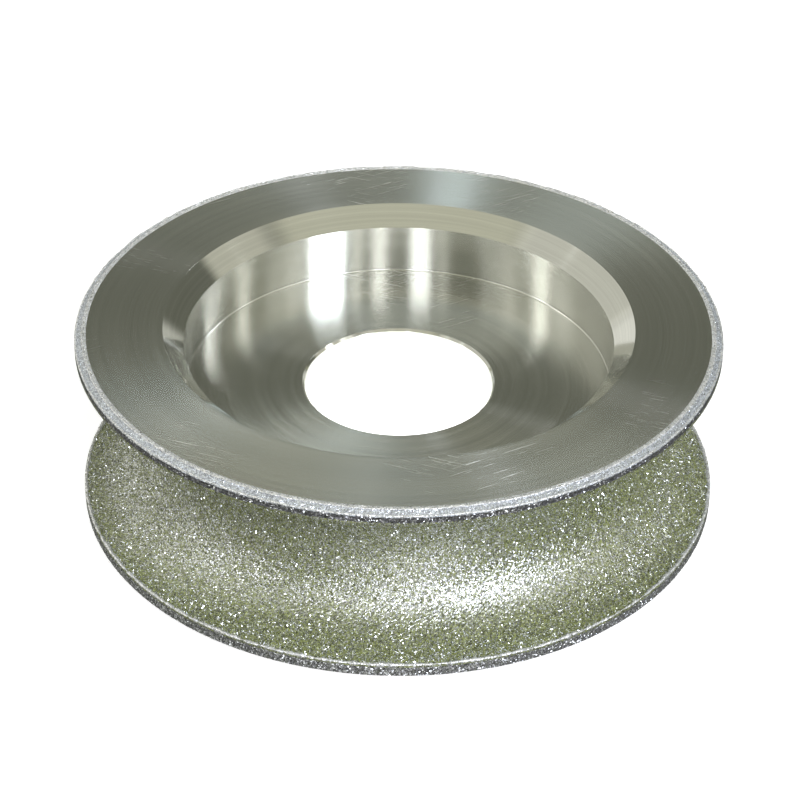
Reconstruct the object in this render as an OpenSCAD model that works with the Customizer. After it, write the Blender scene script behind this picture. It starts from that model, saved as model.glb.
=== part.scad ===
// Electroplated diamond profile wheel: a turned steel body whose rim carries a half-round groove,
// with a nickel-bonded diamond coat in the groove and on the two lips beside it.
// The Z axis is the wheel's axis. Z = 0 is the flat underside that the wheel lies on.

/* [Wheel] */
// Finished diameter over the diamond coat on the lips
wheel_d = 203.2; // [190:0.1:230]
// Thickness of the body between its two flat faces
body_t = 60.3; // [59:0.1:72]
// Diameter of the spindle bore
bore_d = 60; // [30:0.5:100]
// Chamfer at both mouths of the bore
bore_chamfer = 0.7; // [0.2:0.1:2]

/* [Recesses] */
// Diameter of the clamping recess in each face
recess_d = 135.6; // [110:0.1:140]
// Depth of the upper recess
recess_depth = 22.5; // [10:0.5:28]
// Thickness of the web between the two recesses
web_t = 15; // [8:0.5:20]
// Radial width of the wide chamfer around each recess
recess_chamfer_w = 6.3; // [2:0.1:9]
// Height of that chamfer
recess_chamfer_h = 5.9; // [2:0.1:8]
// Radius that the turning tool leaves where a recess wall meets the web
recess_corner_r = 0.8; // [0.3:0.1:2]

/* [Rim] */
// Radius of the finished half-round groove
groove_r = 25.9; // [15:0.1:26.5]
// Height of the groove's middle above the underside
groove_z = 30.6; // [29:0.1:31]
// Radial width of the plated bevel on the upper lip
upper_bevel_w = 2.6; // [1:0.1:6]
// Drop of that bevel from the top face to the edge
upper_bevel_h = 1.3; // [0.5:0.1:2]
// Width and height of the bevel under the lower lip
lower_bevel = 1; // [0.6:0.1:1.6]

/* [Coat] */
// Thickness of the coarse diamond coat in the groove
groove_coat_t = 0.6; // [0.3:0.05:0.8]
// Thickness of the finer diamond coat on the lips
lip_coat_t = 0.4; // [0.2:0.05:0.5]
// Radial width of the grit-free nickel margin on the top face
margin_w = 1.1; // [0.5:0.1:2]
// Thickness of the bare nickel in both margins
margin_t = 0.2; // [0.05:0.01:0.3]

/* [Hidden] */
$fn = 180;

wheel_r = wheel_d / 2;
bore_r = bore_d / 2;
recess_r = recess_d / 2;
recess_mouth_r = recess_r + recess_chamfer_w;

// The web stands between the floors of the two recesses.
web_top = body_t - recess_depth;
web_bottom = web_top - web_t;

// The bare body is smaller than the finished wheel by its coat.
body_r = wheel_r - lip_coat_t;
body_groove_r = groove_r + groove_coat_t;
bevel_inner_r = wheel_r - upper_bevel_w;

// The groove's coat ends flush with the lips, on both sides of the groove.
groove_top = groove_z + body_groove_r;
groove_bottom = groove_z - body_groove_r;

// The bare nickel under the lower lip stays just above the surface that the wheel lies on.
margin_lift = 0.05;

// Colours of the four finishes.
STEEL = [0.72, 0.73, 0.69];
COARSE_DIAMOND = [0.56, 0.58, 0.44];
FINE_DIAMOND = [0.62, 0.66, 0.70];
NICKEL = [0.86, 0.87, 0.88];

// Turned outline of the body from the bore to the rim, with the web in one piece.
module body_blank() {
    polygon([
        [bore_r, web_bottom + bore_chamfer],
        [bore_r + bore_chamfer, web_bottom],
        [recess_r, web_bottom],
        [recess_r, recess_chamfer_h],
        [recess_mouth_r, 0],
        [body_r - lower_bevel, 0],
        [body_r, lower_bevel],
        [body_r, body_t - upper_bevel_h],
        [bevel_inner_r, body_t - lip_coat_t],
        [bevel_inner_r, body_t],
        [recess_mouth_r, body_t],
        [recess_r, body_t - recess_chamfer_h],
        [recess_r, web_top],
        [bore_r + bore_chamfer, web_top],
        [bore_r, web_top - bore_chamfer]
    ]);
}

// Concave fillet in the corner at the origin, between the -X and +Y sides.
module corner_fillet() {
    difference() {
        translate([-recess_corner_r, 0])
            square([recess_corner_r, recess_corner_r]);
        translate([-recess_corner_r, recess_corner_r])
            circle(r = recess_corner_r, $fn = 60);
    }
}

// Half-disc of radius r that opens through the rim.
module groove_section(r) {
    intersection() {
        translate([wheel_r, groove_z])
            circle(r = r);
        translate([0, groove_z - r])
            square([wheel_r, 2 * r]);
    }
}

// One turned piece: bore, web, two recesses, two wide chamfers and the grooved rim.
module wheel_body() {
    color(STEEL)
        rotate_extrude()
            difference() {
                union() {
                    body_blank();
                    translate([recess_r, web_top])
                        corner_fillet();
                    translate([recess_r, web_bottom])
                        mirror([0, 1])
                            corner_fillet();
                }
                groove_section(body_groove_r);
            }
}

// Coarse diamond in nickel, all over the half-round groove.
module groove_diamond_coat() {
    color(COARSE_DIAMOND)
        rotate_extrude()
            difference() {
                groove_section(body_groove_r);
                groove_section(groove_r);
            }
}

// Finer diamond on the bevel and the narrow land of the upper lip.
module upper_lip_diamond_coat() {
    color(FINE_DIAMOND)
        rotate_extrude()
            polygon([
                [bevel_inner_r, body_t - lip_coat_t],
                [body_r, body_t - upper_bevel_h],
                [body_r, groove_top],
                [wheel_r, groove_top],
                [wheel_r, body_t - upper_bevel_h],
                [bevel_inner_r, body_t]
            ]);
}

// Finer diamond on the land of the lower lip.
module lower_lip_diamond_coat() {
    color(FINE_DIAMOND)
        rotate_extrude()
            translate([body_r, lower_bevel])
                square([lip_coat_t, groove_bottom - lower_bevel]);
}

// Bare nickel that overlaps the top face beside the bevel.
module upper_nickel_margin() {
    color(NICKEL)
        rotate_extrude()
            translate([bevel_inner_r - margin_w, body_t])
                square([margin_w, margin_t]);
}

// Bare nickel on the bevel under the lower lip.
module lower_nickel_margin() {
    color(NICKEL)
        rotate_extrude()
            polygon([
                [body_r - lower_bevel + margin_lift, margin_lift],
                [body_r, lower_bevel],
                [body_r + margin_t, lower_bevel],
                [body_r - lower_bevel + margin_lift + margin_t, margin_lift]
            ]);
}

wheel_body();
groove_diamond_coat();
upper_lip_diamond_coat();
lower_lip_diamond_coat();
upper_nickel_margin();
lower_nickel_margin();
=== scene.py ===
import math

import bpy
import numpy as np
from mathutils import Matrix, Vector


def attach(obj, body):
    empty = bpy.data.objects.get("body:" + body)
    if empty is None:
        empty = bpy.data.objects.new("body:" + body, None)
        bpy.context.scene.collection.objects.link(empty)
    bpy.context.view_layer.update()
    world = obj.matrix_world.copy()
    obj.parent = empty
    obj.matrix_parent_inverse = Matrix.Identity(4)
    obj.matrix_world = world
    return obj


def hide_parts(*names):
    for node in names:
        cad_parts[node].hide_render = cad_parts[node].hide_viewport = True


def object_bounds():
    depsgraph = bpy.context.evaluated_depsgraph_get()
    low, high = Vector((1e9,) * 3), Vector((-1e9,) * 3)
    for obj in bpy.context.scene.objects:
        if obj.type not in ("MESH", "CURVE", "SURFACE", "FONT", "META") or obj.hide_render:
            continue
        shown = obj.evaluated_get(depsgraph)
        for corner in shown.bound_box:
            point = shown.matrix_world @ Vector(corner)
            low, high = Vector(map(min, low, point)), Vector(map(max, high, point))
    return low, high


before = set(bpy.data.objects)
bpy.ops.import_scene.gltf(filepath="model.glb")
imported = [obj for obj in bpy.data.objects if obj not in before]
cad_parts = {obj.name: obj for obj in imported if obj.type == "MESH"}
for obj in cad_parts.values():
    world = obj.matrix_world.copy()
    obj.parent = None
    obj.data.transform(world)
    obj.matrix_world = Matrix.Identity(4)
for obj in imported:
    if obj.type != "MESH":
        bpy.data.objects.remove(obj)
cad_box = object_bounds()

MM = 0.001
TAU = 2 * math.pi
TOUCH = 0.01 * MM  # two corners closer than this are at the same radius or height


# ---------------------------------------------------------------- sizes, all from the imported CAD
def rings(node):
    """Radius and height of every corner of a CAD node."""
    co = np.array([v.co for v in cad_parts[node].data.vertices], float)
    return np.hypot(co[:, 0], co[:, 1]), co[:, 2]


# Turned body. Corners within NEAR_BORE of the bore are the web's. The recess wall's upper corners are more
# than ABOVE_WEB over the web.
NEAR_BORE, ABOVE_WEB = 5 * MM, 3 * MM
br, bz = rings("wheel_body")
TOP = float(bz.max())
BORE_R = float(br.min())
BODY_R = float(br.max())
hub = br < BORE_R + NEAR_BORE
WEB_TOP, WEB_BOTTOM = float(bz[hub].max()), float(bz[hub].min())
BORE_CHAMFER = WEB_TOP - float(bz[br < BORE_R + TOUCH].max())
MOUTH_R = float(br[bz > TOP - TOUCH].min())
wall = (br < MOUTH_R - TOUCH) & (bz > WEB_TOP + ABOVE_WEB)
RECESS_R = float(br[wall].min())
CHAMFER_H = TOP - float(bz[wall & (br < RECESS_R + TOUCH)].max())
CORNER_R = RECESS_R - float(br[(abs(bz - WEB_TOP) < TOUCH) & (br < MOUTH_R)].max())
LOWER_BEVEL = BODY_R - float(br[bz < TOUCH].max())

# The CAD's mesh is a polygon, so the smallest half width of its box is the radius that nothing here passes.
WHEEL_R = min(abs(float(corner[k])) for corner in cad_box for k in (0, 1))

# Groove. Its coat meets the rim at four heights: the outside and the inside of the coat, below and above.
gr, gz = rings("groove_diamond_coat")
rim = np.unique(np.round(gz[gr > gr.max() - TOUCH], 6))
GROOVE_Z = float(rim[0] + rim[-1]) / 2
BODY_GROOVE_R = float(rim[-1] - rim[0]) / 2
GROOVE_R = float(rim[-2] - rim[1]) / 2
GROOVE_TOP, GROOVE_BOTTOM = float(rim[-1]), float(rim[0])

# Lips and bare nickel.
ur, uz = rings("upper_lip_diamond_coat")
BEVEL_IN_R = float(ur.min())
BEVEL_Z = float(uz[ur > ur.max() - TOUCH].max())
LIP_T = WHEEL_R - BODY_R
mr, mz = rings("upper_nickel_margin")
MARGIN_IN_R, MARGIN_T = float(mr.min()), float(mz.max()) - TOP
LOW_MARGIN_LIFT = float(rings("lower_nickel_margin")[1].min())


# ---------------------------------------------------------------- shader helpers
def shader(name):
    """A new node material, with its tree and its Principled node."""
    m = bpy.data.materials.new(name)
    m.use_nodes = True
    tree = m.node_tree
    return m, tree, tree.nodes["Principled BSDF"]


def add(tree, kind, props=None, **inputs):
    """One node with its settings and inputs; i0 is the first input. An input that is a socket is linked."""
    n = tree.nodes.new("ShaderNode" + kind)
    for k, v in (props or {}).items():
        setattr(n, k, v)
    for k, v in inputs.items():
        key = int(k[1:]) if k[0] == "i" and k[1:].isdigit() else k.replace("_", " ")
        put(tree, n, key, v)
    return n


def put(tree, n, key, v):
    """Links input key of node n to v if v is a socket, or sets it to v."""
    if isinstance(v, bpy.types.NodeSocket):
        tree.links.new(v, n.inputs[key])
    else:
        n.inputs[key].default_value = v


def math_node(tree, op, a, b=0.0, c=0.0):
    return add(tree, "Math", {"operation": op}, i0=a, i1=b, i2=c).outputs[0]


def remap(tree, v, lo, hi, to_lo, to_hi):
    """v taken from lo..hi to to_lo..to_hi, held at the ends."""
    n = add(tree, "MapRange", {"clamp": True}, Value=v)
    for k, x in (("From Min", lo), ("From Max", hi), ("To Min", to_lo), ("To Max", to_hi)):
        put(tree, n, k, x)
    return n.outputs[0]


def mix_colour(tree, f, a, b):
    return add(tree, "Mix", {"data_type": "RGBA"}, i0=f, i6=a, i7=b).outputs[2]


def noise(tree, vector, scale, detail=2.0, rough=0.5):
    n = add(tree, "TexNoise", None, Vector=vector, Scale=scale, Detail=detail, Roughness=rough)
    return n.outputs[0]


def object_coords(tree):
    return add(tree, "TexCoord").outputs["Object"]


def ring_coords(tree, drift):
    """Radius and height, the same all round the axis but for a little drift that keeps rings uneven."""
    obj = object_coords(tree)
    s = add(tree, "SeparateXYZ", None, i0=obj)
    flat = add(tree, "CombineXYZ", None, X=s.outputs[0], Y=s.outputs[1])
    radius = add(tree, "VectorMath", {"operation": "LENGTH"}, i0=flat.outputs[0]).outputs["Value"]
    ring = add(tree, "CombineXYZ", None, X=radius, Y=s.outputs[2])
    slow = add(tree, "VectorMath", {"operation": "SCALE"}, i0=obj, Scale=drift)
    return add(tree, "VectorMath", {"operation": "ADD"}, i0=ring.outputs[0], i1=slow.outputs[0]).outputs[0]


def rgb(r, g, b):
    return (r, g, b, 1.0)


def scaled(colour, k):
    return rgb(*(c * k for c in colour))


# ---------------------------------------------------------------- finishes
STEEL = (0.66, 0.665, 0.62)
DIAMOND_IOR = 2.42

# Scales of noise, in features to the metre: two sizes of tool mark, clouds of wear and patches of grit.
FINE_MARKS, BROAD_MARKS, CLOUDS, PATCHES = 2300.0, 380.0, 38.0, 260.0
RING_DRIFT = 0.006

# Two sets of handling scratches: turn about the axis in radians, width of a hair, and scale of the clumps.
SCRATCH_SETS = ((0.5, 0.30, 17.0), (-0.35, 0.22, 23.0))
SCRATCH_LENGTH = 12.0
SCRATCH_COLOUR = rgb(0.92, 0.92, 0.88)


def scratch_mask(t, obj):
    """1 on fine straight scratches, which come in a few clumps."""
    hairs = 0.0
    for turn, width, clump in SCRATCH_SETS:
        stretched = add(t, "Mapping", {"vector_type": "TEXTURE"}, Vector=obj)
        stretched.inputs["Rotation"].default_value = (0.0, 0.0, turn)
        stretched.inputs["Scale"].default_value = (SCRATCH_LENGTH, width, 1.0)
        hair = remap(t, noise(t, stretched.outputs[0], 800.0, 2.0, 0.6), 0.66, 0.71, 0.0, 1.0)
        where = remap(t, noise(t, obj, clump, 1.0, 0.5), 0.60, 0.68, 0.0, 1.0)
        hairs = math_node(t, "MAXIMUM", hairs, math_node(t, "MULTIPLY", hair, where))
    return hairs


def turned_steel(name, roughness, aniso, ring_depth, spread, scratches=0.0):
    """Turned steel: fine rings of tool marks, a little uneven, with light wear across them."""
    m, t, p = shader(name)
    obj = object_coords(t)
    ring = ring_coords(t, RING_DRIFT)
    fine = noise(t, ring, FINE_MARKS, 2.0, 0.6)
    broad = noise(t, ring, BROAD_MARKS, 2.0, 0.5)
    cloud = noise(t, obj, CLOUDS, 3.0, 0.55)
    marks = math_node(t, "ADD", math_node(t, "MULTIPLY", fine, 0.6), math_node(t, "MULTIPLY", broad, 0.4))
    tint = mix_colour(t, remap(t, marks, 0.35, 0.65, 0.0, 1.0), scaled(STEEL, 0.94), scaled(STEEL, 1.04))
    tint = mix_colour(t, remap(t, cloud, 0.40, 0.75, 0.0, 0.25), tint, scaled(STEEL, 0.90))
    rough = remap(t, broad, 0.3, 0.7, roughness - spread, roughness + spread)
    rough = math_node(t, "ADD", rough, remap(t, cloud, 0.45, 0.8, 0.0, spread))
    if scratches:
        hairs = scratch_mask(t, obj)
        tint = mix_colour(t, math_node(t, "MULTIPLY", hairs, scratches), tint, SCRATCH_COLOUR)
        rough = math_node(t, "ADD", rough, math_node(t, "MULTIPLY", hairs, 0.25))
    bump = add(t, "Bump", None, Height=marks)
    bump.inputs["Strength"].default_value = 0.35
    bump.inputs["Distance"].default_value = ring_depth
    tangent = add(t, "Tangent", {"direction_type": "RADIAL", "axis": "Z"})
    put(t, p, "Base Color", tint)
    put(t, p, "Metallic", 1.0)
    put(t, p, "Roughness", rough)
    put(t, p, "Anisotropic", aniso)
    put(t, p, "Anisotropic Rotation", 0.25)
    put(t, p, "Normal", bump.outputs[0])
    put(t, p, "Tangent", tangent.outputs[0])
    return m


def leaning(t, cells, tilt):
    """The surface normal, tipped a different way in each cell."""
    away = add(t, "VectorMath", {"operation": "SUBTRACT"}, i0=cells.outputs["Color"], i1=(0.5, 0.5, 0.5))
    lean = add(t, "VectorMath", {"operation": "SCALE"}, i0=away.outputs[0], Scale=tilt)
    geo = add(t, "NewGeometry")
    mixed = add(t, "VectorMath", {"operation": "ADD"}, i0=geo.outputs["Normal"], i1=lean.outputs[0])
    return add(t, "VectorMath", {"operation": "NORMALIZE"}, i0=mixed.outputs[0]).outputs[0]


def grit(name, diamond, shade, nickel, nickel_share, cell, roughness, tilt):
    """Crystals held in nickel: each facet has its own tone, and a mosaic of cells breaks it up.
    diamond and shade are its light and dark tones, cell is the size of a cell and tilt how far cells lean.
    On a piece without the grain attribute only the mosaic is seen."""
    m, t, p = shader(name)
    obj = object_coords(t)
    grain = add(t, "Attribute", {"attribute_name": "grain"}).outputs["Fac"]
    cells = add(t, "TexVoronoi", {"feature": "F1"}, Vector=obj, Scale=1.0 / cell, Randomness=1.0)
    pick = add(t, "SeparateColor", None, Color=cells.outputs["Color"])
    patch = noise(t, obj, PATCHES, 3.0, 0.6)
    cell_tone = math_node(t, "MULTIPLY", pick.outputs[0], 0.5)
    tone = math_node(t, "ADD", math_node(t, "MULTIPLY", grain, 0.5), cell_tone)
    body = mix_colour(t, remap(t, tone, 0.25, 0.75, 0.0, 1.0), rgb(*shade), rgb(*diamond))
    body = mix_colour(t, remap(t, patch, 0.45, 0.75, 0.0, 0.45), body, scaled(diamond, 0.72))
    metal = remap(t, math_node(t, "ADD", pick.outputs[1], math_node(t, "MULTIPLY", grain, 0.3)),
                  1.28 - nickel_share, 1.32 - nickel_share, 0.0, 1.0)
    colour = mix_colour(t, metal, body, rgb(*nickel))
    rough = remap(t, pick.outputs[2], 0.0, 1.0, roughness * 0.5, roughness * 1.7)
    put(t, p, "Base Color", colour)
    put(t, p, "Metallic", metal)
    put(t, p, "Roughness", rough)
    put(t, p, "IOR", DIAMOND_IOR)
    put(t, p, "Normal", leaning(t, cells, tilt))
    return m


flat_steel = turned_steel("turned_steel_flat", roughness=0.22, aniso=1.0, ring_depth=0.0025 * MM,
                          spread=0.02, scratches=0.7)
wall_steel = turned_steel("turned_steel_wall", roughness=0.24, aniso=1.0, ring_depth=0.003 * MM, spread=0.02)
chamfer_steel = turned_steel("turned_steel_chamfer", roughness=0.08, aniso=0.60, ring_depth=0.0004 * MM,
                             spread=0.008)
groove_grit = grit("coarse_diamond_crust", diamond=(0.29, 0.325, 0.11), shade=(0.026, 0.030, 0.008),
                   nickel=(0.74, 0.755, 0.78), nickel_share=0.46, cell=0.33 * MM, roughness=0.24, tilt=0.26)
crystal_grit = grit("coarse_diamond_crystals", diamond=(0.43, 0.48, 0.17), shade=(0.08, 0.10, 0.03),
                    nickel=(0.95, 0.97, 1.0), nickel_share=0.62, cell=0.60 * MM, roughness=0.14, tilt=0.1)
bevel_grit = grit("fine_diamond_bevel", diamond=(0.40, 0.43, 0.47), shade=(0.13, 0.14, 0.16),
                  nickel=(0.76, 0.80, 0.86), nickel_share=0.50, cell=0.34 * MM, roughness=0.28, tilt=0.5)
land_grit = grit("fine_diamond_land", diamond=(0.08, 0.08, 0.10), shade=(0.004, 0.004, 0.006),
                 nickel=(0.90, 0.92, 0.96), nickel_share=0.34, cell=0.46 * MM, roughness=0.14, tilt=1.0)
low_land_grit = grit("fine_diamond_low_land", diamond=(0.18, 0.18, 0.20), shade=(0.010, 0.010, 0.013),
                     nickel=(0.88, 0.90, 0.94), nickel_share=0.58, cell=0.42 * MM, roughness=0.20, tilt=0.9)
bare_nickel = grit("bright_nickel", diamond=(0.84, 0.85, 0.87), shade=(0.32, 0.33, 0.34),
                   nickel=(0.98, 0.98, 0.99), nickel_share=0.85, cell=0.34 * MM, roughness=0.38, tilt=0.6)


# ---------------------------------------------------------------- mesh helpers
def mesh_object(name, co, faces, materials, face_mat=None, smooth=False, normals=None, grain=None):
    """An object from points and faces, which are all triangles or all quads.
    face_mat and grain give each face its material and a tone from 0 to 1.
    normals has a row for each point."""
    me = bpy.data.meshes.new(name)
    me.vertices.add(len(co))
    me.vertices.foreach_set("co", np.ascontiguousarray(co, np.float32).ravel())
    faces = np.asarray(faces, np.int32)
    me.loops.add(faces.size)
    me.loops.foreach_set("vertex_index", faces.ravel())
    me.polygons.add(len(faces))
    me.polygons.foreach_set("loop_start", np.arange(0, faces.size, faces.shape[1], dtype=np.int32))
    for m in materials:
        me.materials.append(m)
    if face_mat is not None:
        me.polygons.foreach_set("material_index", np.asarray(face_mat, np.int32))
    me.update(calc_edges=True)
    me.validate()
    me.polygons.foreach_set("use_smooth", np.full(len(faces), smooth, bool))
    if grain is not None:
        tone = me.attributes.new("grain", "FLOAT", "FACE")
        tone.data.foreach_set("value", np.ascontiguousarray(grain, np.float32))
    if normals is not None:
        me.normals_split_custom_set_from_vertices([tuple(n) for n in normals])
    o = bpy.data.objects.new(name, me)
    bpy.context.scene.collection.objects.link(o)
    return o


def ring_quads(nu, nv):
    """Quads of a closed outline of nv points turned nu times round the axis, facing outwards."""
    i, j = np.meshgrid(np.arange(nu), np.arange(nv), indexing="ij")
    i2, j2 = (i + 1) % nu, (j + 1) % nv
    return np.stack([i * nv + j, i2 * nv + j, i2 * nv + j2, i * nv + j2], -1).reshape(-1, 4)


CORNER_STEPS = 4


def rounded(corners):
    """A closed outline with rounded corners: points, normals, and the finish of the side each point starts.
    corners: (r, z, rounding, side), where side is the finish of the side that starts at this corner."""
    pts, nrm, side = [], [], []
    n = len(corners)
    for i in range(n):
        a, b, c = (np.array(corners[(i + k) % n][:2], float) for k in (-1, 0, 1))
        u, v = (b - a) / np.linalg.norm(b - a), (c - b) / np.linalg.norm(c - b)
        turn = math.atan2(u[0] * v[1] - u[1] * v[0], float(u @ v))
        rad = corners[i][2]
        n0 = np.array([u[1], -u[0]])
        centre = b - u * rad * abs(math.tan(turn / 2)) - n0 * rad * math.copysign(1, turn)
        for s in range(CORNER_STEPS + 1) if rad else [CORNER_STEPS / 2]:
            ang = turn * s / CORNER_STEPS
            ca, sa = math.cos(ang), math.sin(ang)
            nn = np.array([ca * n0[0] - sa * n0[1], sa * n0[0] + ca * n0[1]])
            pts.append(centre + nn * rad * math.copysign(1, turn))
            nrm.append(nn)
            side.append(corners[i][3] if s >= CORNER_STEPS / 2 else corners[i - 1][3])
    return np.array(pts), np.array(nrm), np.array(side)


def turn_points(pr, pz, ang):
    """Points (r, z) placed at the given angles; all arrays have the same shape."""
    return np.stack([pr * np.cos(ang), pr * np.sin(ang), pz], -1).reshape(-1, 3)


def even_angles(nu, nv):
    """nu even angles round the axis, each for all nv points of an outline."""
    return np.arange(nu)[:, None] * TAU / nu * np.ones((1, nv))


def turned(outline, nu):
    """Points of an outline of (r, z) rows, turned nu times round the axis."""
    every = np.ones((nu, 1))
    return turn_points(outline[:, 0] * every, outline[:, 1] * every, even_angles(nu, len(outline)))


def lathe(name, outline, outline_normals, side, nu, materials):
    """A closed outline turned round the axis, with smooth shading from its own normals."""
    co, normals = turned(outline, nu), turned(outline_normals, nu)
    return mesh_object(name, co, ring_quads(nu, len(outline)), materials, np.tile(side, nu), True, normals)


def along(points, step):
    """Points at an even step along a broken line, with the normal on its right-hand side."""
    points = np.array(points, float)
    seg = np.diff(points, axis=0)
    length = np.hypot(seg[:, 0], seg[:, 1])
    out, nor = [], []
    for k in range(len(seg)):
        n = max(1, int(round(length[k] / step)))
        u = seg[k] / length[k]
        for s in range(n + (k == len(seg) - 1)):
            out.append(points[k] + seg[k] * s / n)
            nor.append((u[1], -u[0]))
    return np.array(out), np.array(nor)


# Grains of a crust: how far they wander, in parts of a step; their usual range, in parts of the height asked
# for; and the share of them that stand taller, and by how much.
WANDER = 0.30
DEEPEST, USUAL_TOP = -1.0, 0.4
TALL_SHARE = 0.12
TALLER = (0.3, 0.9)


def crust(name, front, front_normal, back, nu, height, seed, materials,
          mat_of=None, ragged=0.0, z_max=math.inf):
    """A closed ring whose front is a crust of facets. front has its outside on the right, and back closes it.
    height is the size of the grains, mat_of the material at each point of the front, ragged how far the first
    row strays along the front, and z_max the highest that any point may be."""
    rng = np.random.default_rng(seed)
    nf, nb = len(front), len(back)
    step = float(np.hypot(*(front[1] - front[0])))
    h = rng.uniform(DEEPEST * height, height * USUAL_TOP, (nu, nf))
    tall = rng.random((nu, nf)) < TALL_SHARE
    h[tall] += rng.uniform(*TALLER, tall.sum()) * height
    slide = rng.uniform(-WANDER, WANDER, (nu, nf)) * step
    slide[:, [0, -1]] = 0
    slide[:, 0] = rng.uniform(-1, 0.2, nu) * ragged
    along_front = np.stack([-front_normal[:, 1], front_normal[:, 0]], -1)
    r = np.minimum(front[:, 0] + front_normal[:, 0] * h + along_front[:, 0] * slide, WHEEL_R)
    z = np.minimum(front[:, 1] + front_normal[:, 1] * h + along_front[:, 1] * slide, z_max)
    ang = (np.arange(nu)[:, None] + rng.uniform(-WANDER, WANDER, (nu, nf))) * TAU / nu
    back_r, back_z = (np.ones((nu, 1)) * back[:, k] for k in (0, 1))
    co = turn_points(np.hstack([r, back_r]), np.hstack([z, back_z]), np.hstack([ang, even_angles(nu, nb)]))
    faces = ring_quads(nu, nf + nb)
    mats = None if mat_of is None else np.tile(np.concatenate([mat_of, np.full(nb, mat_of[0])]), nu)
    return mesh_object(name, co, faces, materials, mats, grain=rng.random(len(faces)))


def piece(o, slot, *nodes):
    """Gives a piece its body and hides the CAD nodes that it stands in for. slot is not used."""
    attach(o, "root")
    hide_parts(*nodes)


# ---------------------------------------------------------------- turned body
FLAT, WALL, CHAMFER = 0, 1, 2  # places in the body's list of materials
SOFT, CRISP = 0.12 * MM, 0.05 * MM  # rounding of its corners
BODY_SIDES = 480
ARC_POINTS = 40
reach = math.acos(LIP_T / BODY_GROOVE_R)
arc = [(WHEEL_R - BODY_GROOVE_R * math.cos(a), GROOVE_Z + BODY_GROOVE_R * math.sin(a))
       for a in np.linspace(-reach, reach, ARC_POINTS)]
corners = [
    (BORE_R, WEB_BOTTOM + BORE_CHAMFER, SOFT, CHAMFER),
    (BORE_R + BORE_CHAMFER, WEB_BOTTOM, SOFT, FLAT),
    (RECESS_R, WEB_BOTTOM, CORNER_R, WALL),
    (RECESS_R, CHAMFER_H, CRISP, CHAMFER),
    (MOUTH_R, 0.0, CRISP, FLAT),
    (BODY_R - LOWER_BEVEL, 0.0, SOFT, FLAT),
    (BODY_R, LOWER_BEVEL, SOFT, FLAT),
] + [(r, z, 0.0, FLAT) for r, z in arc] + [
    (BODY_R, BEVEL_Z, CRISP, FLAT),
    (BEVEL_IN_R, TOP - LIP_T, CRISP, FLAT),
    (BEVEL_IN_R, TOP, CRISP, FLAT),
    (MOUTH_R, TOP, CRISP, CHAMFER),
    (RECESS_R, TOP - CHAMFER_H, CRISP, WALL),
    (RECESS_R, WEB_TOP, CORNER_R, FLAT),
    (BORE_R + BORE_CHAMFER, WEB_TOP, SOFT, CHAMFER),
    (BORE_R, WEB_TOP - BORE_CHAMFER, SOFT, WALL),
]
body = lathe("wheel_body_turned", *rounded(corners), BODY_SIDES, [flat_steel, wall_steel, chamfer_steel])
piece(body, "turned_steel", "wheel_body")

# ---------------------------------------------------------------- coarse diamond in the groove
GROOVE_SIDES = 1080
GROOVE_ROWS = 161
GROOVE_GRAIN = 0.08 * MM
BACK_POINTS = 8
theta = np.linspace(-math.pi / 2, math.pi / 2, GROOVE_ROWS)


def groove_arc(radius, th):
    """Points of the groove's half circle, from its lower mouth at -90 degrees to its upper one at 90."""
    return np.stack([WHEEL_R - radius * np.cos(th), GROOVE_Z + radius * np.sin(th)], -1)


def groove_half(name, th, seed):
    """Part of the groove's crust, from one angle of its half circle to another."""
    normal = np.stack([np.cos(th), -np.sin(th)], -1)
    front = groove_arc(GROOVE_R, th)
    back = groove_arc(BODY_GROOVE_R, np.linspace(th[-1], th[0], BACK_POINTS))
    return crust(name, front, normal, back, GROOVE_SIDES, GROOVE_GRAIN, seed, [groove_grit])


half = GROOVE_ROWS // 2
lower_crust = groove_half("groove_grit_lower", theta[: half + 1], 11)
upper_crust = groove_half("groove_grit_upper", theta[half:], 12)
piece(lower_crust, "coarse_diamond", "groove_diamond_coat")
piece(upper_crust, "coarse_diamond", "groove_diamond_coat")

N_CRYSTALS = 46000
CRYSTAL_SIZE = 0.16 * MM  # half the side of the cube that a crystal's four corners are on
CRYSTAL_LIFT = 0.16  # mm, the highest centre over the crust
CRYSTAL_REACH = 1.53  # radians from the groove's middle, just short of its mouth
TETRAHEDRON = np.array([(1, 1, 1), (1, -1, -1), (-1, 1, -1), (-1, -1, 1)], float)
TETRAHEDRON_FACES = np.array([(0, 1, 2), (0, 3, 1), (0, 2, 3), (1, 3, 2)])


def random_turns(rng, count):
    """Rotation matrices of random unit quaternions."""
    q = rng.normal(size=(count, 4))
    q /= np.linalg.norm(q, axis=1)[:, None]
    w, x, y, z = q.T
    return np.stack([
        np.stack([1 - 2 * (y * y + z * z), 2 * (x * y - z * w), 2 * (x * z + y * w)], -1),
        np.stack([2 * (x * y + z * w), 1 - 2 * (x * x + z * z), 2 * (y * z - x * w)], -1),
        np.stack([2 * (x * z - y * w), 2 * (y * z + x * w), 1 - 2 * (x * x + y * y)], -1)], 1)


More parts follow.
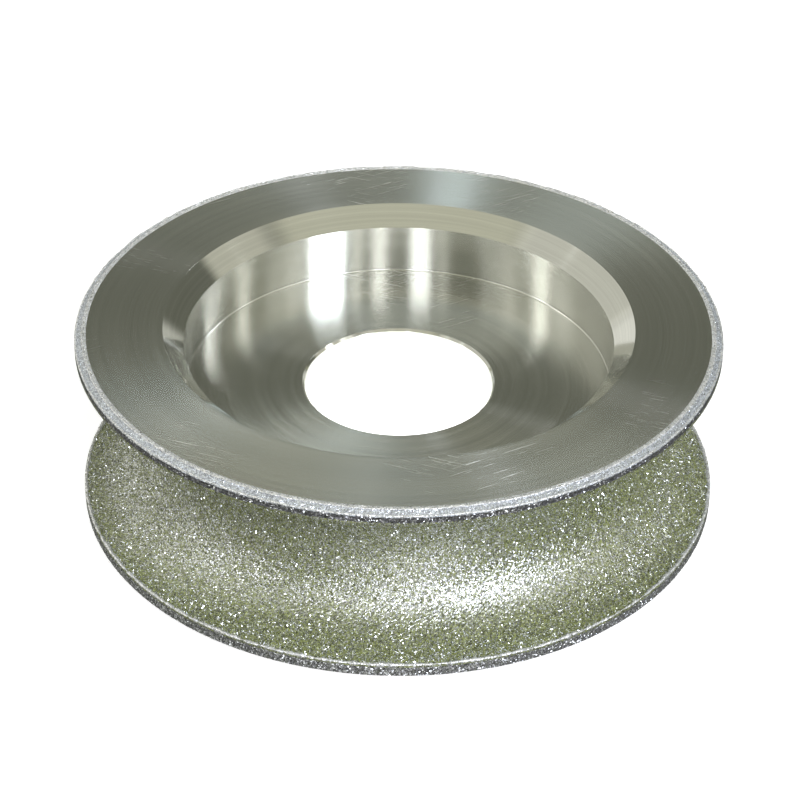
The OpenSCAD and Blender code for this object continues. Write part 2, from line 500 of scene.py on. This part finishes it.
def crystals(name, th0, th1, seed):
    """Sharp crystals set in the groove's crust and spread evenly over its area. None passes the rim."""
    rng = np.random.default_rng(seed)
    draws = 4 * N_CRYSTALS
    th = rng.random(draws) * (th1 - th0) + th0
    keep = rng.random(draws) < (WHEEL_R - GROOVE_R * np.cos(th)) / WHEEL_R
    th = th[keep][:N_CRYSTALS]
    count = len(th)
    ang = rng.random(count) * TAU
    lift = rng.uniform(0.0, CRYSTAL_LIFT, count) * MM
    r = WHEEL_R - (GROOVE_R - lift) * np.cos(th)
    z = GROOVE_Z + (GROOVE_R - lift) * np.sin(th)
    turns = random_turns(rng, count)
    scale = CRYSTAL_SIZE * rng.uniform(0.7, 1.25, (count, 3))
    local = np.einsum("nij,nkj->nki", turns, TETRAHEDRON[None] * scale[:, None, :])
    co = (turn_points(r, z, ang)[:, None, :] + local).reshape(-1, 3)
    co[:, :2] *= np.minimum(1.0, WHEEL_R / np.hypot(co[:, 0], co[:, 1]))[:, None]
    faces = (TETRAHEDRON_FACES[None] + 4 * np.arange(count)[:, None, None]).reshape(-1, 3)
    return mesh_object(name, co, faces, [crystal_grit], grain=np.repeat(rng.random(count), 4))


for where, th0, th1, seed in (("lower", -CRYSTAL_REACH, 0.0, 21), ("upper", 0.0, CRYSTAL_REACH, 22)):
    piece(crystals("groove_crystals_" + where, th0, th1, seed), "coarse_diamond", "groove_diamond_coat")

# ---------------------------------------------------------------- finer diamond on the lips
LIP_SIDES = 1800
LIP_STEP = 0.36 * MM
LIP_GRAIN = 0.13 * MM
LAND_OVERLAP = 0.55 * MM  # the grit of both lands reaches this far over the end of the groove's coat
BEVEL_FOOT = 0.2 * MM  # the bevel's grit goes this far down the land
LAND_TOP_END = GROOVE_TOP - LAND_OVERLAP
LAND_LOW_END = GROOVE_BOTTOM + LAND_OVERLAP

upper_front, upper_normal = along([(WHEEL_R, LAND_TOP_END), (WHEEL_R, BEVEL_Z), (BEVEL_IN_R, TOP)], LIP_STEP)
upper_back = np.array([(BEVEL_IN_R, TOP - LIP_T), (BODY_R, BEVEL_Z), (BODY_R, LAND_TOP_END)])
on_land = (upper_front[:, 1] < BEVEL_Z - BEVEL_FOOT).astype(int)
upper_lip = crust("upper_lip_grit", upper_front, upper_normal, upper_back, LIP_SIDES, LIP_GRAIN, 31,
                  [bevel_grit, land_grit], on_land, ragged=0.22 * MM, z_max=TOP + MARGIN_T)
piece(upper_lip, "fine_diamond", "upper_lip_diamond_coat")

lower_front, lower_normal = along([(WHEEL_R, LOWER_BEVEL), (WHEEL_R, LAND_LOW_END)], LIP_STEP)
lower_back = np.array([(BODY_R, LAND_LOW_END), (BODY_R, LOWER_BEVEL)])
lower_lip = crust("lower_lip_grit", lower_front, lower_normal, lower_back, LIP_SIDES, LIP_GRAIN, 32,
                  [low_land_grit])
piece(lower_lip, "fine_diamond", "lower_lip_diamond_coat")


# ---------------------------------------------------------------- bare nickel
def smooth_noise(rng, n, width):
    """Seeded noise round the turn, of spread 1 and held within 2.5, smooth over width samples."""
    k = np.exp(-0.5 * (np.arange(-3 * width, 3 * width + 1) / width) ** 2)
    v = np.convolve(np.tile(rng.normal(size=n), 3), k / np.sqrt((k ** 2).sum()), "same")[n:2 * n]
    return np.clip(v, -2.5, 2.5)


BEAD_SIDES = 8


def bead(name, r, z, size, squash, seed):
    """A nodular nickel bead that runs round the wheel, thicker and thinner at random."""
    rng = np.random.default_rng(seed)
    nu = LIP_SIDES
    thick = size * (1 + 0.22 * smooth_noise(rng, nu, 1) + 0.18 * smooth_noise(rng, nu, 5))
    thick = np.clip(thick, 0.35 * size, 1.7 * size)[:, None]
    off = 0.12 * size * smooth_noise(rng, nu, 2)[:, None]
    s = np.arange(BEAD_SIDES)[None, :] * TAU / BEAD_SIDES
    pr = np.minimum(r + off + thick * np.cos(s), WHEEL_R)
    pz = np.minimum(z + off * 0.5 + thick * squash * np.sin(s), TOP + MARGIN_T)
    co = turn_points(pr, pz, even_angles(nu, BEAD_SIDES))
    return mesh_object(name, co, ring_quads(nu, BEAD_SIDES), [bare_nickel], smooth=True)


upper_bead = bead("upper_lip_bead", r=WHEEL_R - 0.42 * MM, z=BEVEL_Z + 0.20 * MM,
                  size=0.34 * MM, squash=0.9, seed=41)
lower_bead = bead("lower_lip_bead", r=WHEEL_R - 0.60 * MM, z=GROOVE_BOTTOM + 0.50 * MM,
                  size=0.60 * MM, squash=0.9, seed=42)
bevel_bead = bead("margin_edge_bead", r=BEVEL_IN_R + 0.10 * MM, z=TOP - 0.05 * MM,
                  size=0.32 * MM, squash=0.8, seed=43)
piece(upper_bead, "bright_nickel", "upper_lip_diamond_coat")
piece(lower_bead, "bright_nickel", "lower_lip_diamond_coat")
piece(bevel_bead, "bright_nickel", "upper_nickel_margin")


def ragged_band(name, a, b, rows, ragged, seed):
    """A thin nickel band from point a, its ragged edge, to point b, raised on the right-hand side by up to a
    margin's thickness."""
    rng = np.random.default_rng(seed)
    nu = LIP_SIDES
    a, b = np.array(a), np.array(b)
    width = np.linalg.norm(b - a)
    u = (b - a) / width
    n = np.array([u[1], -u[0]])
    edge = ragged * (0.55 * smooth_noise(rng, nu, 2) + 0.45 * smooth_noise(rng, nu, 9))[:, None]
    start = np.maximum(edge, -0.4 * ragged)
    s = np.linspace(0, 1, rows)[None, :]
    t = start + s * (width - start)
    grain = np.stack([smooth_noise(rng, nu, 1) for _ in range(rows)], 1)
    crown = np.clip(np.sin(np.pi * np.clip(s * 1.15, 0, 1)) ** 0.5, 0.15, 1)
    h = MARGIN_T * np.clip(0.75 + 0.30 * grain, 0.2, 1.0) * crown
    top_r = a[0] + u[0] * t + n[0] * h
    top_z = np.maximum(a[1] + u[1] * t + n[1] * h, 0.0)
    foot_r, foot_z = (a[0] + u[0] * t)[:, ::-1], (a[1] + u[1] * t)[:, ::-1]
    co = turn_points(np.hstack([top_r, foot_r]), np.hstack([top_z, foot_z]), even_angles(nu, 2 * rows))
    return mesh_object(name, co, ring_quads(nu, 2 * rows), [bare_nickel], smooth=True)


upper_band = ragged_band("upper_margin_nickel", (BEVEL_IN_R, TOP), (MARGIN_IN_R, TOP),
                         rows=8, ragged=0.30 * MM, seed=51)
lower_band = ragged_band("lower_margin_nickel", (BODY_R - LOWER_BEVEL + LOW_MARGIN_LIFT, LOW_MARGIN_LIFT),
                         (BODY_R, LOWER_BEVEL), rows=7, ragged=0.15 * MM, seed=52)
piece(upper_band, "bright_nickel", "upper_nickel_margin")
piece(lower_band, "bright_nickel", "lower_nickel_margin")


# ---------------------------------------------------------------- floor and backdrop
def only_camera(o):
    """The object is seen by the camera, and the wheel's metal doesn't mirror it."""
    for kind in ("diffuse", "glossy", "transmission", "shadow", "volume_scatter"):
        setattr(o, "visible_" + kind, False)


def pale(name, colour, glow, grain):
    """A matt pale surface with a faint mottle and a little glow of its own."""
    m, t, p = shader(name)
    mottle = noise(t, object_coords(t), grain, 2.0, 0.5)
    shade = remap(t, mottle, 0.3, 0.7, 0.985, 1.0)
    tint = mix_colour(t, shade, rgb(0, 0, 0), rgb(colour, colour, colour))
    put(t, p, "Base Color", tint)
    put(t, p, "Roughness", 0.9)
    put(t, p, "Specular IOR Level", 0.1)
    put(t, p, "Emission Color", rgb(1, 1, 1))
    put(t, p, "Emission Strength", glow)
    return m


# The floor runs up into the backdrop in one sweep. The glowing disc of painted light that follows covers the
# hole in its middle.
FLOOR_HOLE_R, FLOOR_R, SWEEP_R, BACKDROP_H = 0.02, 1.6, 0.9, 2.6
SWEEP_SIDES = 96
flat_part = [(FLOOR_HOLE_R, 0.0), (0.3, 0.0), (FLOOR_R, 0.0)]
bend = [(FLOOR_R + SWEEP_R * math.sin(a), SWEEP_R * (1 - math.cos(a)))
        for a in np.linspace(0.1, math.pi / 2, 14)]
sweep = np.array(flat_part + bend + [(FLOOR_R + SWEEP_R, BACKDROP_H)])
strips = ring_quads(SWEEP_SIDES, len(sweep)).reshape(SWEEP_SIDES, len(sweep), 4)
floor = mesh_object("floor", turned(sweep, SWEEP_SIDES), strips[:, :-1].reshape(-1, 4),
                    [pale("pale_floor", colour=0.55, glow=0.70, grain=3.0)], smooth=True)
only_camera(floor)

# Painted light: a glowing disc under the wheel's recess, far brighter than the floor, as seen through the
# bore. Its glow lights the recess and the bore wall from below, where shade would fall.
DISC_R = 0.98 * RECESS_R
DISC_LIFT = 0.1 * MM
DISC_SIDES = 64
circle = [(DISC_R * math.cos(k * TAU / DISC_SIDES), DISC_R * math.sin(k * TAU / DISC_SIDES), 0.0)
          for k in range(DISC_SIDES)]
wedges = [(0, 1 + k, 1 + (k + 1) % DISC_SIDES) for k in range(DISC_SIDES)]
under = mesh_object("painted_glow_under_bore", np.array([(0, 0, 0.0)] + circle), wedges,
                    [pale("painted_glow_floor", colour=0.8, glow=2.2, grain=3.0)])
under.location.z = DISC_LIFT

# ---------------------------------------------------------------- light
# Soft panels of light round the wheel: azimuth (0 is beyond the wheel, 90 is the camera's right), elevation,
# half width, half height and softness in degrees, and colour. What lies between them is dim.
DIM = (0.168, 0.173, 0.141)
PANELS = [
    (0, 73, 360, 23, 3, 0.49, 0.48, 0.39),      # the room above
    (-31, 46, 30, 5, 2, 0.44, 0.44, 0.38),      # pale wall beyond, to the left
    (-1, 42, 2.5, 4, 2.5, 0.10, 0.20, 0.32),    # blue patch over the far window
    (1.9, 23.5, 0.8, 3.6, 0.5, 3.6, 4.2, 4.6),  # far window
    (8.5, 19, 2.8, 4, 1.2, 0.90, 1.06, 1.12),   # wall beside the far window
    (20, 45, 9, 4, 2.5, 0.35, 0.35, 0.30),      # pale wall beyond, to the right
    (-75, 31, 46, 19, 2, 0.55, 0.54, 0.50),     # left side
    (-42, -1, 22, 13, 3, 0.80, 0.79, 0.76),     # low, far left
    (-92, -1, 26, 13, 3, 0.38, 0.37, 0.36),     # low, left
    (92, 35, 28, 13, 3, 0.47, 0.46, 0.40),      # right side
    (22, -5, 10, 12, 4, 0.45, 0.45, 0.42),      # low, far right
    (180, -26, 35, 20, 8, 0.38, 0.38, 0.37),    # bounce from the table in front
    (-168, 40, 5.5, 12, 2, 8.2, 8.3, 8.9),      # windows behind the camera
    (-155, 40, 3, 10, 2, 2.2, 2.2, 2.2),
    (168, 42, 4, 10, 2, 6.5, 6.5, 6.8),
    (155, 40, 3, 10, 2, 4.0, 4.0, 4.0),
    (138, 37, 9, 9, 2, 22.0, 23.2, 26.0),       # the window that gives the most light
    (118, 41, 8, 4, 3, 5.0, 5.0, 5.0),          # lesser ones, nearer the camera's right
    (104, 39, 6, 5, 3, 1.8, 1.8, 1.8),
    (84, 32, 4, 5, 2, 5.0, 5.0, 5.0),
    (52, 34, 3, 2.2, 1, 1.0, 1.05, 1.15),       # narrow ones at the far right
    (50, 36.5, 1.2, 5, 1, 26.0, 26.0, 27.0),
    (-66, 45, 8, 5, 3, 2.6, 2.6, 2.6),          # windows on the left
    (-96, 30, 4, 7, 3, 6.5, 6.5, 6.5),
    (-121, 39, 11, 6, 3, 1.9, 1.9, 1.9),
    (172, 0, 7, 12, 4, 4.8, 4.8, 4.9),          # low, behind the camera
]
world = bpy.data.worlds.new("studio")
bpy.context.scene.world = world
world.use_nodes = True
wt = world.node_tree
towards = add(wt, "SeparateXYZ", None, i0=add(wt, "TexCoord").outputs["Generated"]).outputs
azimuth = math_node(wt, "MULTIPLY", math_node(wt, "ARCTAN2", towards[0], towards[1]), 360 / TAU)
elevation = math_node(wt, "MULTIPLY", math_node(wt, "ARCSINE", towards[2]), 360 / TAU)


def within(offset, half, soft):
    """1 where offset is within half degrees of 0 either way, falling softly to 0 outside."""
    distance = math_node(wt, "ABSOLUTE", offset)
    n = add(wt, "MapRange", {"interpolation_type": "SMOOTHSTEP"}, Value=distance)
    for k, v in (("From Min", half - soft), ("From Max", half + soft), ("To Min", 1.0), ("To Max", 0.0)):
        n.inputs[k].default_value = v
    return n.outputs[0]


light = DIM
for az, el, half_w, half_h, soft, *colour in PANELS:
    sideways = math_node(wt, "WRAP", math_node(wt, "SUBTRACT", azimuth, az), 180.0, -180.0)
    upwards = math_node(wt, "SUBTRACT", elevation, el)
    share = math_node(wt, "MULTIPLY", within(sideways, half_w, soft), within(upwards, half_h, soft))
    lit = add(wt, "VectorMath", {"operation": "MULTIPLY_ADD"}, i0=tuple(colour), i1=share, i2=light)
    light = lit.outputs[0]
wt.links.new(light, wt.nodes["Background"].inputs[0])

# ---------------------------------------------------------------- camera
# It stands CAM_DIST from the middle of the top face, CAM_EL up, looks at it, and then turns by small angles.
cam_data = bpy.data.cameras.new("camera")
cam = bpy.data.objects.new("camera", cam_data)
bpy.context.scene.collection.objects.link(cam)
bpy.context.scene.camera = cam
CAM_DIST = 0.79658
CAM_EL = math.radians(32.389)
CAM_YAW, CAM_PITCH, CAM_ROLL = (math.radians(d) for d in (0.0376, -1.7945, 0.5252))
CAM_LENS, CAM_SENSOR = 114.03, 36.0


def tipped(a, b, angle):
    """Both of a pair of axes, turned by angle with a going towards b."""
    return math.cos(angle) * a + math.sin(angle) * b, math.cos(angle) * b - math.sin(angle) * a


cam_data.lens, cam_data.sensor_width = CAM_LENS, CAM_SENSOR
cam_data.clip_start, cam_data.clip_end = 0.05, 20.0
ahead = Vector((0, math.cos(CAM_EL), -math.sin(CAM_EL)))
right = Vector((1, 0, 0))
up = right.cross(ahead)
ahead, right = tipped(ahead, right, CAM_YAW)
ahead, up = tipped(ahead, up, CAM_PITCH)
right, up = tipped(right, up, CAM_ROLL)
spot = Vector((0, 0, TOP)) + CAM_DIST * Vector((0, -math.cos(CAM_EL), math.sin(CAM_EL)))
cam.matrix_world = Matrix.Translation(spot) @ Matrix((right, up, -ahead)).transposed().to_4x4()

bpy.context.scene.view_settings.view_transform = "Standard"
